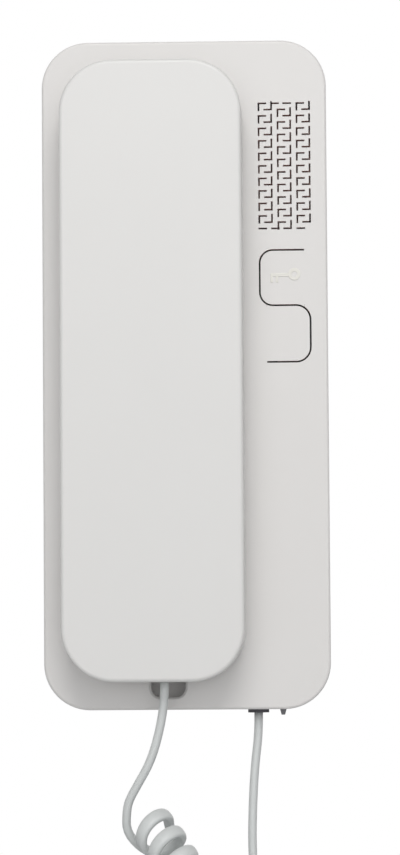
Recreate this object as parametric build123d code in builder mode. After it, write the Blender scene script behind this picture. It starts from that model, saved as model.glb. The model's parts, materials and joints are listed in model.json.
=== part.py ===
from build123d import *
import os
from math import atan2, cos, degrees, pi, radians, sin, sqrt, tan

os.makedirs("parts", exist_ok=True)

# An audio door-intercom station: a wall unit with two sprung buttons and a call loudspeaker, a lift-off
# handset that rests in two cups on its left, and the curly cord that joins them below.
# X points to the right, Z up. The wall is the plane Y = 0 and the room lies towards -Y. A depth is the
# distance of a plane from the wall, towards the room. The origin is midway between the two wall screws.

# Wall unit
base_width = 81.0
base_height = 190.0
base_depth = 21.0
base_corner_radius = 13.1
base_edge_radius = 0.8
base_left, base_right = -base_width / 2, base_width / 2
base_bottom, base_top = -base_height / 2, base_height / 2
base_wall = 2.0
back_plate = 2.0
split_depth = 8.0
lip_height = 1.4
lip_wall = 1.0
fit_gap = 0.12
running_gap = 0.05
overrun = 1.0

# Handset, beside the column that holds the grille and the buttons
column_width = 23.9
handset_side_inset, handset_end_inset = 6.1, 8.0
handset_width = base_width - handset_side_inset - column_width
handset_height = base_height - 2 * handset_end_inset
handset_x = base_left + handset_side_inset + handset_width / 2
handset_bottom, handset_top = -handset_height / 2, handset_height / 2
handset_gap = 1.2
handset_thickness = 17.6
handset_corner_radius = 14.8
handset_edge_radius = 1.1
handset_wall = 2.0
handset_rear_share = 0.27

# Ear and mouth pads of the handset, and the cups that they rest in
ear_end_inset, mouth_end_inset = 30.0, 29.0
ear_z, mouth_z = handset_top - ear_end_inset, handset_bottom + mouth_end_inset
ear_pad_inset, mouth_pad_inset = 6.5, 8.5
ear_pad_width, ear_pad_height = handset_width - 2 * ear_pad_inset, 42.0
mouth_pad_width, mouth_pad_height = handset_width - 2 * mouth_pad_inset, 36.0
pad_flat_half_width = 6.0
pad_corner_radius = min(mouth_pad_width, mouth_pad_height) / 2 - pad_flat_half_width
pad_depth = 7.2
pad_wall = 1.8
pad_taper = 6.0
pad_rim_bevel = 0.9
cup_side_gap = 3.0
cup_top_gap = 3.6
cup_seat_gap = 0.4
cup_floor_gap = 0.3
cup_wall = 1.6
cup_rim_bevel = 0.6

# Wall fixing
wall_hole_spacing = 83.5
wall_hole_radius = 2.2
wall_head_radius = 4.4
wall_head_recess = 0.8

# S-shaped slit that frees the two button tongues
slit_left_inset, slit_right_inset, slit_top_inset = 19.2, 4.9, 60.05
door_button_height, aux_button_height = 15.75, 16.1
slit_left, slit_right = base_right - slit_left_inset, base_right - slit_right_inset
slit_top = base_top - slit_top_inset
slit_middle = slit_top - door_button_height
slit_bottom = slit_middle - aux_button_height
slit_left_radius, slit_right_radius = 3.7, 4.1
slit_width = 0.5
door_root_inset, aux_root_inset = 1.65, 1.9
door_root_x, aux_root_x = slit_right - door_root_inset, slit_left + aux_root_inset
flexure_length = 3.0
flexure_thickness = 0.8

# Push switches under the buttons
switch_side = 6.0
switch_rise = 3.6
door_switch_inset, door_switch_rise = 3.7, 7.8
door_switch_x, door_switch_z = slit_left + door_switch_inset, slit_middle + door_switch_rise
aux_switch_inset, aux_switch_drop = 4.1, 8.2
aux_switch_x, aux_switch_z = slit_right - aux_switch_inset, slit_middle - aux_switch_drop
stem_radius = 1.7
stem_length = 3.2
stem_showing = 2.0
stem_travel = 0.35
touch_gap = 0.3
button_post_radius = 1.5

# Circuit board and its screws
board_depth = 5.0
board_thickness = 1.6
board_right_inset, board_column_width = 5.0, 20.0
board_column_right = base_right - board_right_inset
board_column_left = board_column_right - board_column_width
board_top_reach, board_bottom_inset = 2.05, 7.0
board_top, board_bottom = slit_top + board_top_reach, base_bottom + board_bottom_inset
board_left_inset, board_middle_top = 10.5, 22.0
board_middle_left = base_left + board_left_inset
post_radius = 2.6
board_screw_inset = 3.0
board_screw_lower_inset = 35.0
board_screw_lower_z = base_bottom + board_screw_lower_inset
screw_thread_radius = 1.1
screw_head_radius = 2.2
screw_head_height = 1.5
screw_bite = 2.4
screw_slot_width, screw_slot_depth = 0.5, 0.5

# Riser terminals beside the hook switch, and the cable entry below them
hook_side_offset = 15.9
hook_x = handset_x + hook_side_offset
hook_switch_width, hook_switch_length, hook_switch_rise = 6.0, 13.0, 6.2
pole_count = 5
pole_pitch = 5.0
terminal_side_gap, terminal_cup_gap = 3.0, 14.8
terminal_left = hook_x - hook_switch_width / 2 - terminal_side_gap - pole_count * pole_pitch
terminal_bottom = mouth_z + mouth_pad_height / 2 + cup_top_gap + cup_wall + terminal_cup_gap
terminal_height, terminal_rise = 10.0, 10.4
board_terminal_margin = 2.0
board_middle_bottom = terminal_bottom - board_terminal_margin
cable_entry_side, cable_entry_drop = 10.0, 12.0
cable_entry_x, cable_entry_z = terminal_left + cable_entry_side, terminal_bottom - cable_entry_drop
cable_entry_width, cable_entry_height = 18.0, 12.0
cable_entry_radius = 2.0
terminal_screw_radius = 1.5
terminal_screw_length = 5.0
terminal_entry = 3.0
terminal_chamfer = 1.6

# Grille of paired L slots on a square grid
grille_top_inset = 18.1
grille_left, grille_top = slit_left, base_top - grille_top_inset
grille_step_x, grille_step_z = 1.8, 1.79
grille_columns = 3
grille_rows = 10
slot_width = 0.5
slot_leg_share = 1.08
slot_rise_share = 1.2

# Call loudspeaker behind the grille
speaker_width, speaker_height = 18.0, 38.0
speaker_frame_depth = 5.4
speaker_rim = 1.4
speaker_floor = 1.0
speaker_gasket_thickness = 0.6
magnet_radius = 7.0
magnet_thickness = 4.4
cone_thickness = 0.5
cone_throat_radius = 3.5
cone_gap = 0.2

# Hook lever, its pin, spring and switch
hook_pivot_depth, hook_pivot_z = 13.0, -12.0
hook_width = 5.0
hook_hub_radius = 3.0
hook_pin_radius = 1.25
hook_arm_depth, hook_arm_thickness = 15.0, 2.0
hook_arm_top_z = 9.0
hook_nose_low_z, hook_nose_tip_low_z, hook_nose_tip_high_z = 1.0, 3.4, 7.4
hook_slot_low_z, hook_slot_high_z = -1.8, 10.6
hook_slot_side_gap = 0.6
hook_nose_radius = 1.2
hook_lug_thickness = 1.6
hook_lug_reach = 2.6
hook_lug_gap = 1.5
spring_wire = 0.45
spring_coil_radius = 2.4
spring_leg = 9.0
hook_switch_low_z = -3.0
hook_stem_radius = 0.9
hook_stem_length = 3.2
hook_stem_z = 4.0

# Cord bush and volume slider in the bottom wall
grommet_side_inset, grommet_depth = 20.6, 13.0
grommet_x = base_right - grommet_side_inset
grommet_radius = 2.5
grommet_flange_radius = 3.0
grommet_flange_height = 1.0
grommet_bore_radius = 1.9
slider_side_inset, slider_depth = 13.6, 12.0
slider_x = base_right - slider_side_inset
slider_travel = 2.0
slider_root_width, slider_tip_width = 1.9, 1.0
slider_thickness = 2.0
slider_showing = 1.7
slider_shoe_width, slider_shoe_height, slider_shoe_thickness = 3.8, 3.0, 4.0
slider_shoe_lift = 0.9
slider_slot_gap = 0.3
volume_switch_width, volume_switch_height, volume_switch_rise = 13.0, 4.0, 6.4

# Notch in the front wall where the cord leaves the handset
notch_left_reach, notch_right_reach = 1.4, 8.4
notch_left, notch_right = handset_x - notch_left_reach, handset_x + notch_right_reach
notch_bottom_inset, notch_top_inset = 3.5, 13.0
notch_bottom, notch_top = base_bottom + notch_bottom_inset, base_bottom + notch_top_inset
notch_corner_radius = 2.8
notch_depth = 8.0
notch_wall = 1.2

# Earpiece, microphone and their mounts in the handset
earpiece_side_gap, earpiece_thickness = 2.7, 7.0
earpiece_radius = min(ear_pad_width, ear_pad_height) / 2 - pad_wall - earpiece_side_gap
earpiece_rim, earpiece_step = 2.0, 1.2
gasket_thickness, gasket_rim = 0.8, 2.4
sound_slot_width = 1.2
ear_slot_pitch, mouth_slot_pitch = 3.6, 2.2
ear_field_inset = 1.7
ear_field_radius = earpiece_radius - gasket_rim - ear_field_inset
microphone_radius, microphone_height = 4.85, 6.0
boot_wall = 1.6
boot_floor = 1.0
boot_seat_height = 3.0
boot_opening_radius = 3.5
screw_ear_gap, screw_mouth_gap = 30.0, 31.0
handset_boss_radius = 3.2
handset_lip_wall = 0.9
handset_screw_length = 7.0
handset_screw_spare = 0.6
handset_head_recess = 1.1
microphone_edge_bevel = 0.3
relief_radius, relief_length = 2.4, 8.0
relief_collar_radius, relief_collar_length = 3.4, 2.0

# Curly cord. The tails' points were chosen by hand, and so were those of the coil's axis.
cord_thickness = 2.6
coil_radius = 5.3
coil_turns = 17
coil_start_angle = -120.0
cord_sides = 6
cord_exit_side, cord_exit_depth = 2.8, 29.0
cord_exit_x = handset_x + cord_exit_side
bend_share = 0.45
axis_steps = 24
lead_steps = 2
gap_steps = 6
heading_step_share = 0.01
guide_share = 0.6
straight_share = 1e-9


def at_depth(depth):
    """The upright plane at this distance from the wall, facing the room."""
    return Plane.XZ.offset(depth)


# Sizes that follow from the ones above
inner_width = base_width - 2 * base_wall
inner_height = base_height - 2 * base_wall
inner_corner_radius = base_corner_radius - base_wall
front_wall_depth = base_depth - base_wall
slider_slot_width = slider_root_width + 2 * (slider_travel + slider_slot_gap)
board_front = board_depth + board_thickness
handset_back_depth = base_depth + handset_gap
handset_front_depth = handset_back_depth + handset_thickness
handset_split_depth = handset_back_depth + handset_rear_share * handset_thickness
pad_face_depth = handset_back_depth - pad_depth
cup_floor_depth = pad_face_depth - cup_floor_gap
pads = (
    (ear_z, ear_pad_width, ear_pad_height),
    (mouth_z, mouth_pad_width, mouth_pad_height),
)
board_screw_places = (
    (board_column_left + board_screw_inset, board_top - board_screw_inset),
    (board_middle_left + board_screw_inset, board_middle_top - board_screw_inset),
    (board_middle_left + board_screw_inset, board_middle_bottom + board_screw_inset),
    (board_column_left + board_screw_inset, board_screw_lower_z),
)
wall_hole_places = ((0, wall_hole_spacing / 2), (0, -wall_hole_spacing / 2))


# Rear housing: the shallow tray that is screwed to the wall. A lip stands inside the front cover's
# walls, posts carry the circuit board, and the riser cable comes in through the back plate.
with BuildPart() as rear_housing:
    with BuildSketch(at_depth(0)):
        RectangleRounded(base_width, base_height, base_corner_radius)
    extrude(amount=split_depth)
    with BuildSketch(at_depth(back_plate)):
        RectangleRounded(inner_width, inner_height, inner_corner_radius)
    extrude(amount=split_depth, mode=Mode.SUBTRACT)
    lip_inner = (inner_width - 2 * (lip_wall + fit_gap), inner_height - 2 * (lip_wall + fit_gap))
    for start, outer_gap in ((split_depth - lip_height, 0), (split_depth, fit_gap)):
        with BuildSketch(at_depth(start)):
            RectangleRounded(
                inner_width - 2 * outer_gap, inner_height - 2 * outer_gap, inner_corner_radius - outer_gap
            )
            RectangleRounded(*lip_inner, inner_corner_radius - lip_wall - fit_gap, mode=Mode.SUBTRACT)
        extrude(amount=lip_height)
    with BuildSketch(at_depth(back_plate)):
        with Locations(*board_screw_places):
            Circle(post_radius)
    extrude(amount=board_depth - back_plate)
    with BuildSketch(at_depth(board_front - screw_bite - board_thickness)):
        with Locations(*board_screw_places):
            Circle(screw_thread_radius + running_gap)
    extrude(amount=screw_bite + overrun, mode=Mode.SUBTRACT)
    with BuildSketch(at_depth(-overrun)):
        with Locations(*wall_hole_places):
            Circle(wall_hole_radius)
        with Locations((cable_entry_x, cable_entry_z)):
            RectangleRounded(cable_entry_width, cable_entry_height, cable_entry_radius)
    extrude(amount=back_plate + 2 * overrun, mode=Mode.SUBTRACT)
    with BuildSketch(at_depth(back_plate - wall_head_recess)):
        with Locations(*wall_hole_places):
            Circle(wall_head_radius)
    extrude(amount=wall_head_recess + overrun, mode=Mode.SUBTRACT)
rear_housing.part.label = "rear_housing"
export_step(rear_housing.part, "parts/rear_housing.step")


# The grille's slots: an L at the upper left and one at the lower right of each cell, on a square grid,
# with the middle column half a cell lower. Short dashes close the pattern at the top and the bottom.
leg_x = grille_step_x * slot_leg_share
leg_z = grille_step_z * slot_leg_share
half_rows = 2 * grille_rows
slot_bars = []
for column_index in range(grille_columns):
    cell_x = grille_left + 3 * column_index * grille_step_x
    corner_x = cell_x + 2 * grille_step_x
    first = column_index % 2
    for row in range(grille_rows):
        top_z = grille_top - (2 * row + first) * grille_step_z
        low_z = top_z - grille_step_z
        slot_bars.append(((cell_x, top_z), (cell_x + leg_x, top_z)))
        slot_bars.append(((cell_x, top_z), (cell_x, top_z - leg_z)))
        slot_bars.append(((corner_x, low_z), (corner_x - leg_x, low_z)))
        slot_bars.append(((corner_x, low_z), (corner_x, low_z + grille_step_z * slot_rise_share)))
    border_z = grille_top - (0 if first else half_rows) * grille_step_z
    border_x = cell_x if not first else corner_x - leg_x
    slot_bars.append(((border_x, border_z), (border_x + leg_x, border_z)))
link_x = grille_left + 2 * grille_step_x
for border_z in (grille_top, grille_top - half_rows * grille_step_z):
    slot_bars.append(((link_x, border_z), (link_x + leg_x, border_z)))

with BuildSketch() as grille_slots:
    for (start_x, start_z), (end_x, end_z) in slot_bars:
        with Locations(((start_x + end_x) / 2, (start_z + end_z) / 2)):
            Rectangle(abs(end_x - start_x) + slot_width, abs(end_z - start_z) + slot_width)


# The slit's centre line, and the two tongues that it frees. Each tongue keeps one side as its root.
with BuildSketch() as slit:
    with BuildLine():
        FilletPolyline(
            (door_root_x, slit_top),
            (slit_left, slit_top),
            (slit_left, slit_middle),
            (slit_right, slit_middle),
            (slit_right, slit_bottom),
            (aux_root_x, slit_bottom),
            radius=(slit_left_radius, slit_left_radius, slit_right_radius, slit_right_radius),
        )
    trace(line_width=slit_width)


def tongue(root_x, tip_x, far_z, tip_radius, other_tip_x, other_radius):
    """The area between a tongue's root and the slit: a plate with two round corners, and the foot
    beside the root where the slit turns away from the plate."""
    side = 1 if tip_x > root_x else -1
    up = 1 if far_z > slit_middle else -1
    with BuildSketch() as area:
        with BuildLine():
            FilletPolyline(
                (root_x, far_z),
                (tip_x, far_z),
                (tip_x, slit_middle),
                (root_x, slit_middle),
                radius=(tip_radius, tip_radius),
            )
            Line((root_x, slit_middle), (root_x, far_z))
        make_face()
        turn_x = other_tip_x + side * other_radius
        turn_z = slit_middle - up * other_radius
        foot_width = abs(root_x - turn_x)
        with Locations((turn_x - side * foot_width / 2, slit_middle - up * other_radius / 2)):
            Rectangle(foot_width, other_radius)
        with Locations((turn_x, turn_z)):
            Circle(other_radius, mode=Mode.SUBTRACT)
    return area.sketch


door_area = tongue(door_root_x, slit_left, slit_top, slit_left_radius, slit_right, slit_right_radius)
aux_area = tongue(aux_root_x, slit_right, slit_bottom, slit_right_radius, slit_left, slit_left_radius)


# Front cover: the moulded face of the wall unit. Two cups take the handset's pads, the notch gives the
# cord room, and behind the face stand the lugs of the hook lever.
with BuildPart() as front_cover:
    with BuildSketch(at_depth(split_depth)):
        RectangleRounded(base_width, base_height, base_corner_radius)
    extrude(amount=base_depth - split_depth)
    fillet(front_cover.faces().sort_by(Axis.Y)[0].edges(), radius=base_edge_radius)
    with BuildSketch(at_depth(split_depth)):
        RectangleRounded(inner_width, inner_height, inner_corner_radius)
    extrude(amount=base_depth - split_depth - base_wall, mode=Mode.SUBTRACT)
    for pad_z, pad_width, pad_height in pads:
        cup_width = pad_width + 2 * cup_side_gap
        cup_height = pad_height + cup_top_gap + cup_seat_gap
        cup_z = pad_z + (cup_top_gap - cup_seat_gap) / 2
        cup_corner_radius = pad_corner_radius + cup_side_gap
        with BuildSketch(at_depth(front_wall_depth)):
            with Locations((handset_x, cup_z)):
                RectangleRounded(
                    cup_width + 2 * cup_wall, cup_height + 2 * cup_wall, cup_corner_radius + cup_wall
                )
        extrude(amount=cup_floor_depth - cup_wall - front_wall_depth)
        with BuildSketch(at_depth(base_depth)):
            with Locations((handset_x, cup_z)):
                RectangleRounded(cup_width, cup_height, cup_corner_radius)
        extrude(amount=cup_floor_depth - base_depth, taper=pad_taper, mode=Mode.SUBTRACT)
    with BuildSketch(at_depth(front_wall_depth)):
        with Locations(((notch_left + notch_right) / 2, (notch_bottom + notch_top) / 2)):
            RectangleRounded(
                notch_right - notch_left + 2 * notch_wall,
                notch_top - notch_bottom + 2 * notch_wall,
                notch_corner_radius + notch_wall,
            )
    extrude(amount=base_wall - notch_depth - notch_wall)
    with BuildSketch(at_depth(base_depth)):
        with Locations(((notch_left + notch_right) / 2, (notch_bottom + notch_top) / 2)):
            RectangleRounded(notch_right - notch_left, notch_top - notch_bottom, notch_corner_radius)
    extrude(amount=-notch_depth, mode=Mode.SUBTRACT)
    rims = front_cover.faces().sort_by(Axis.Y)[0].inner_wires()
    chamfer([edge for rim in rims for edge in rim.edges()], length=cup_rim_bevel)
    for side in (-1, 1):
        lug_x = hook_x + side * (hook_width / 2 + hook_lug_gap + hook_lug_thickness / 2)
        with BuildSketch(Plane.YZ.offset(lug_x - hook_lug_thickness / 2)):
            with Locations((-(hook_pivot_depth + front_wall_depth) / 2, hook_pivot_z)):
                Rectangle(front_wall_depth - hook_pivot_depth, 2 * hook_lug_reach)
            with Locations((-hook_pivot_depth, hook_pivot_z)):
                Circle(hook_lug_reach)
                Circle(hook_pin_radius + running_gap, mode=Mode.SUBTRACT)
        extrude(amount=hook_lug_thickness)
    with BuildSketch(at_depth(front_wall_depth - overrun)):
        with Locations((hook_x, (hook_slot_low_z + hook_slot_high_z) / 2)):
            Rectangle(hook_width + 2 * hook_slot_side_gap, hook_slot_high_z - hook_slot_low_z)
        add(grille_slots.sketch)
        add(door_area)
        add(aux_area)
        add(slit.sketch)
    extrude(amount=base_wall + 2 * overrun, mode=Mode.SUBTRACT)
    with BuildSketch(Plane.XY.offset(base_bottom - overrun)):
        with Locations((grommet_x, -grommet_depth)):
            Circle(grommet_radius + running_gap)
        with Locations((slider_x, -slider_depth)):
            Rectangle(slider_slot_width, slider_thickness + 2 * running_gap)
    extrude(amount=base_wall + 2 * overrun, mode=Mode.SUBTRACT)
front_cover.part.label = "front_cover"
export_step(front_cover.part, "parts/front_cover.step")


def button(area, root_x, tip_side, post_x, post_z):
    """One tongue of the front face: a plate thinned to a flexure beside its root, with a post behind
    it that reaches down to its push switch."""
    plate_depth = front_wall_depth
    with BuildPart() as plate:
        with BuildSketch(at_depth(plate_depth)):
            add(area)
            add(slit.sketch, mode=Mode.SUBTRACT)
            with Locations((root_x, (slit_top + slit_bottom) / 2)):
                Rectangle(2 * running_gap, slit_top - slit_bottom, mode=Mode.SUBTRACT)
        extrude(amount=base_wall)
        groove_x = root_x + tip_side * flexure_length / 2
        with BuildSketch(at_depth(plate_depth - overrun)):
            with Locations((groove_x, (slit_top + slit_bottom) / 2)):
                Rectangle(flexure_length, slit_top - slit_bottom)
        extrude(amount=overrun + base_wall - flexure_thickness, mode=Mode.SUBTRACT)
        with BuildSketch(at_depth(plate_depth)):
            with Locations((post_x, post_z)):
                Circle(button_post_radius)
        extrude(amount=board_front + switch_rise + stem_showing + touch_gap - plate_depth)
    return plate.part


with BuildPart() as door_button:
    add(button(door_area, door_root_x, -1, door_switch_x, door_switch_z))
door_button.part.label = "door_button"
export_step(door_button.part, "parts/door_button.step")

with BuildPart() as aux_button:
    add(button(aux_area, aux_root_x, 1, aux_switch_x, aux_switch_z))
aux_button.part.label = "aux_button"
export_step(aux_button.part, "parts/aux_button.step")


# Circuit board: a T of a tall column behind the buttons and a middle field for the terminals.
with BuildPart() as circuit_board:
    with BuildSketch(at_depth(board_depth)):
        with Locations(((board_column_left + board_column_right) / 2, (board_bottom + board_top) / 2)):
            Rectangle(board_column_right - board_column_left, board_top - board_bottom)
        with Locations(
            ((board_middle_left + board_column_left) / 2, (board_middle_bottom + board_middle_top) / 2)
        ):
            Rectangle(board_column_left - board_middle_left, board_middle_top - board_middle_bottom)
        with Locations(*board_screw_places):
            Circle(screw_thread_radius + fit_gap, mode=Mode.SUBTRACT)
    extrude(amount=board_thickness)
circuit_board.part.label = "circuit_board"
export_step(circuit_board.part, "parts/circuit_board.step")


with BuildPart() as board_screws:
    with BuildSketch(at_depth(board_front)):
        with Locations(*board_screw_places):
            Circle(screw_head_radius)
    extrude(amount=screw_head_height)
    with BuildSketch(at_depth(board_front - board_thickness - screw_bite)):
        with Locations(*board_screw_places):
            Circle(screw_thread_radius)
    extrude(amount=board_thickness + screw_bite)
    with BuildSketch(at_depth(board_front + screw_head_height - screw_slot_depth)):
        with Locations(*board_screw_places):
            Rectangle(2 * screw_head_radius + overrun, screw_slot_width)
    extrude(amount=screw_slot_depth + overrun, mode=Mode.SUBTRACT)
board_screws.part.label = "board_screws"
export_step(board_screws.part, "parts/board_screws.step")


# Riser terminal block, with a wire entry and a clamping screw for each pole.
terminal_width = pole_count * pole_pitch
pole_xs = [terminal_left + (pole + 0.5) * pole_pitch for pole in range(pole_count)]
terminal_front = board_front + terminal_rise
screw_row_z = terminal_bottom + terminal_height / 2
with BuildPart() as terminal_block:
    with BuildSketch(at_depth(board_front)):
        with Locations((terminal_left + terminal_width / 2, screw_row_z)):
            Rectangle(terminal_width, terminal_height)
    extrude(amount=terminal_rise)
    chamfer(
        terminal_block.faces().sort_by(Axis.Y)[0].edges().filter_by(Axis.X).sort_by(Axis.Z)[0],
        length=terminal_chamfer,
    )
    with BuildSketch(at_depth(terminal_front - terminal_screw_length)):
        with Locations(*[(pole_x, screw_row_z) for pole_x in pole_xs]):
            Circle(terminal_screw_radius + running_gap)
    extrude(amount=terminal_screw_length + overrun, mode=Mode.SUBTRACT)
    with BuildSketch(Plane.XY.offset(terminal_bottom - overrun)):
        with Locations(*[(pole_x, -board_front - terminal_entry) for pole_x in pole_xs]):
            Rectangle(terminal_entry, terminal_entry)
    extrude(amount=terminal_height / 2 - terminal_screw_radius + overrun, mode=Mode.SUBTRACT)
terminal_block.part.label = "terminal_block"
export_step(terminal_block.part, "parts/terminal_block.step")

with BuildPart() as terminal_screws:
    with BuildSketch(at_depth(terminal_front - terminal_screw_length)):
        with Locations(*[(pole_x, screw_row_z) for pole_x in pole_xs]):
            Circle(terminal_screw_radius)
    extrude(amount=terminal_screw_length - screw_slot_depth)
    with BuildSketch(at_depth(terminal_front - 2 * screw_slot_depth)):
        with Locations(*[(pole_x, screw_row_z) for pole_x in pole_xs]):
            Rectangle(screw_slot_width, 2 * terminal_screw_radius + overrun)
    extrude(amount=screw_slot_depth + overrun, mode=Mode.SUBTRACT)
terminal_screws.part.label = "terminal_screws"
export_step(terminal_screws.part, "parts/terminal_screws.step")


# Call loudspeaker: an oval basket, a paper cone pressed as an oval trough, and a magnet, on a foam ring
# behind the grille.
speaker_x = grille_left + (3 * grille_columns - 1) * grille_step_x / 2
speaker_z = grille_top - half_rows * grille_step_z / 2
speaker_front = front_wall_depth - speaker_gasket_thickness
speaker_back = speaker_front - speaker_frame_depth
speaker_inner_width = speaker_width - 2 * speaker_rim
speaker_inner_height = speaker_height - 2 * speaker_rim
with BuildPart() as speaker_gasket:
    with BuildSketch(at_depth(speaker_front)):
        with Locations((speaker_x, speaker_z)):
            SlotOverall(speaker_height, speaker_width, rotation=90)
            SlotOverall(speaker_inner_height, speaker_inner_width, rotation=90, mode=Mode.SUBTRACT)
    extrude(amount=speaker_gasket_thickness)
speaker_gasket.part.label = "speaker_gasket"
export_step(speaker_gasket.part, "parts/speaker_gasket.step")

with BuildPart() as speaker_frame:
    with BuildSketch(at_depth(speaker_back)):
        with Locations((speaker_x, speaker_z)):
            SlotOverall(speaker_height, speaker_width, rotation=90)
    extrude(amount=speaker_frame_depth)
    with BuildSketch(at_depth(speaker_back + speaker_floor)):
        with Locations((speaker_x, speaker_z)):
            SlotOverall(speaker_inner_height, speaker_inner_width, rotation=90)
    extrude(amount=speaker_frame_depth, mode=Mode.SUBTRACT)
    with BuildSketch(at_depth(speaker_back - overrun)):
        with Locations((speaker_x, speaker_z)):
            Circle(cone_throat_radius)
    extrude(amount=speaker_floor + 2 * overrun, mode=Mode.SUBTRACT)
speaker_frame.part.label = "speaker_frame"
export_step(speaker_frame.part, "parts/speaker_frame.step")

cone_base = speaker_back + speaker_floor + cone_gap
cone_mouth = speaker_front - cone_gap
cone_mouth_width, cone_mouth_height = speaker_inner_width - 2 * cone_gap, speaker_inner_height - 2 * cone_gap
cone_slope = degrees(atan2(cone_mouth_width / 2 - cone_throat_radius, cone_mouth - cone_base))
with BuildPart() as speaker_cone:
    for shift, mode in ((0, Mode.ADD), (cone_thickness, Mode.SUBTRACT)):
        with BuildSketch(at_depth(cone_mouth + shift)):
            with Locations((speaker_x, speaker_z)):
                SlotOverall(cone_mouth_height, cone_mouth_width, rotation=90)
        extrude(amount=cone_base - cone_mouth, taper=cone_slope, mode=mode)
speaker_cone.part.label = "speaker_cone"
export_step(speaker_cone.part, "parts/speaker_cone.step")

with BuildPart() as speaker_magnet:
    with BuildSketch(at_depth(speaker_back - magnet_thickness)):
        with Locations((speaker_x, speaker_z)):
            Circle(magnet_radius)
    extrude(amount=magnet_thickness)
speaker_magnet.part.label = "speaker_magnet"
export_step(speaker_magnet.part, "parts/speaker_magnet.step")


# The two push switches: a square body on the board, and a round stem that the button's post presses.
switch_front = board_front + switch_rise
stem_front = switch_front + stem_showing
for name, switch_x, switch_z in (
    ("door", door_switch_x, door_switch_z),
    ("aux", aux_switch_x, aux_switch_z),
):
    with BuildPart() as push_switch:
        with BuildSketch(at_depth(board_front)):
            with Locations((switch_x, switch_z)):
                Rectangle(switch_side, switch_side)
        extrude(amount=switch_rise)
        with BuildSketch(at_depth(stem_front - stem_length - stem_travel - running_gap)):
            with Locations((switch_x, switch_z)):
                Circle(stem_radius + running_gap)
        extrude(amount=stem_length + stem_travel, mode=Mode.SUBTRACT)
    push_switch.part.label = f"{name}_switch"
    export_step(push_switch.part, f"parts/{name}_switch.step")

    with BuildPart() as switch_stem:
        with BuildSketch(at_depth(stem_front - stem_length)):
            with Locations((switch_x, switch_z)):
                Circle(stem_radius)
        extrude(amount=stem_length)
    switch_stem.part.label = f"{name}_switch_stem"
    export_step(switch_stem.part, f"parts/{name}_switch_stem.step")


# Hook lever: a hub on its pin, an arm up behind the cover, and a nose that stands out of the slot and
# is held in by the handset's back.
nose_tip_depth = handset_back_depth - touch_gap
arm_front = hook_arm_depth + hook_arm_thickness
with BuildPart() as hook_lever:
    with BuildSketch(Plane.YZ.offset(hook_x - hook_width / 2)):
        with Locations((-hook_pivot_depth, hook_pivot_z)):
            Circle(hook_hub_radius)
        with BuildLine():
            Polyline(
                (-hook_arm_depth, hook_pivot_z),
                (-hook_arm_depth, hook_arm_top_z),
                (-arm_front, hook_arm_top_z),
                (-nose_tip_depth, hook_nose_tip_high_z),
                (-nose_tip_depth, hook_nose_tip_low_z),
                (-arm_front, hook_nose_low_z),
                (-hook_pivot_depth - hook_hub_radius, hook_pivot_z),
                close=True,
            )
        make_face()
        with Locations((-hook_pivot_depth, hook_pivot_z)):
            Circle(hook_pin_radius + running_gap, mode=Mode.SUBTRACT)
    extrude(amount=hook_width)
    fillet(hook_lever.edges().filter_by(Axis.X).group_by(Axis.Y)[0], radius=hook_nose_radius)
hook_lever.part.label = "hook_lever"
export_step(hook_lever.part, "parts/hook_lever.step")

hook_lug_outside = hook_width / 2 + hook_lug_gap + hook_lug_thickness
with BuildPart() as hook_pin:
    with BuildSketch(Plane.YZ.offset(hook_x - hook_lug_outside)):
        with Locations((-hook_pivot_depth, hook_pivot_z)):
            Circle(hook_pin_radius)
    extrude(amount=2 * hook_lug_outside)
hook_pin.part.label = "hook_pin"
export_step(hook_pin.part, "parts/hook_pin.step")

# Torsion spring beside the hub: a coil on the pin, one leg up against the cover, one under the arm.
spring_x = hook_x + hook_width / 2 + hook_lug_gap / 2
spring_coil_width = hook_lug_gap - 2 * fit_gap
spring_top = hook_pivot_depth + spring_coil_radius - spring_wire
with BuildPart() as hook_spring:
    with BuildSketch(Plane.YZ.offset(spring_x - spring_coil_width / 2)):
        with Locations((-hook_pivot_depth, hook_pivot_z)):
            Circle(spring_coil_radius)
            Circle(spring_coil_radius - 2 * spring_wire, mode=Mode.SUBTRACT)
    extrude(amount=spring_coil_width)
    with BuildSketch(Plane.YZ.offset(spring_x - spring_wire)):
        with Locations((spring_coil_radius - spring_wire - hook_pivot_depth, hook_pivot_z + spring_leg / 2)):
            Rectangle(2 * spring_wire, spring_leg)
    extrude(amount=2 * spring_wire)
    arm_rest_z = hook_pivot_z + spring_leg
    with BuildSketch(Plane.YZ.offset(hook_x)):
        with Locations((spring_coil_radius - hook_pivot_depth, arm_rest_z - spring_wire)):
            Rectangle(2 * spring_wire, 2 * spring_wire)
    extrude(amount=spring_x - hook_x)
    with BuildSketch(Plane.YZ.offset(spring_x - spring_wire)):
        with Locations((-(spring_top + front_wall_depth - fit_gap) / 2, hook_pivot_z)):
            Rectangle(front_wall_depth - fit_gap - spring_top, 2 * spring_wire)
    extrude(amount=2 * spring_wire)
hook_spring.part.label = "hook_spring"
export_step(hook_spring.part, "parts/hook_spring.step")

hook_stem_front = hook_arm_depth - touch_gap
with BuildPart() as hook_switch:
    with BuildSketch(at_depth(board_front)):
        with Locations((hook_x, hook_switch_low_z + hook_switch_length / 2)):
            Rectangle(hook_switch_width, hook_switch_length)
    extrude(amount=hook_switch_rise)
    with BuildSketch(at_depth(hook_stem_front - hook_stem_length - running_gap)):
        with Locations((hook_x, hook_stem_z)):
            Circle(hook_stem_radius + running_gap)
    extrude(amount=hook_stem_length, mode=Mode.SUBTRACT)
hook_switch.part.label = "hook_switch"
export_step(hook_switch.part, "parts/hook_switch.step")

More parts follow.
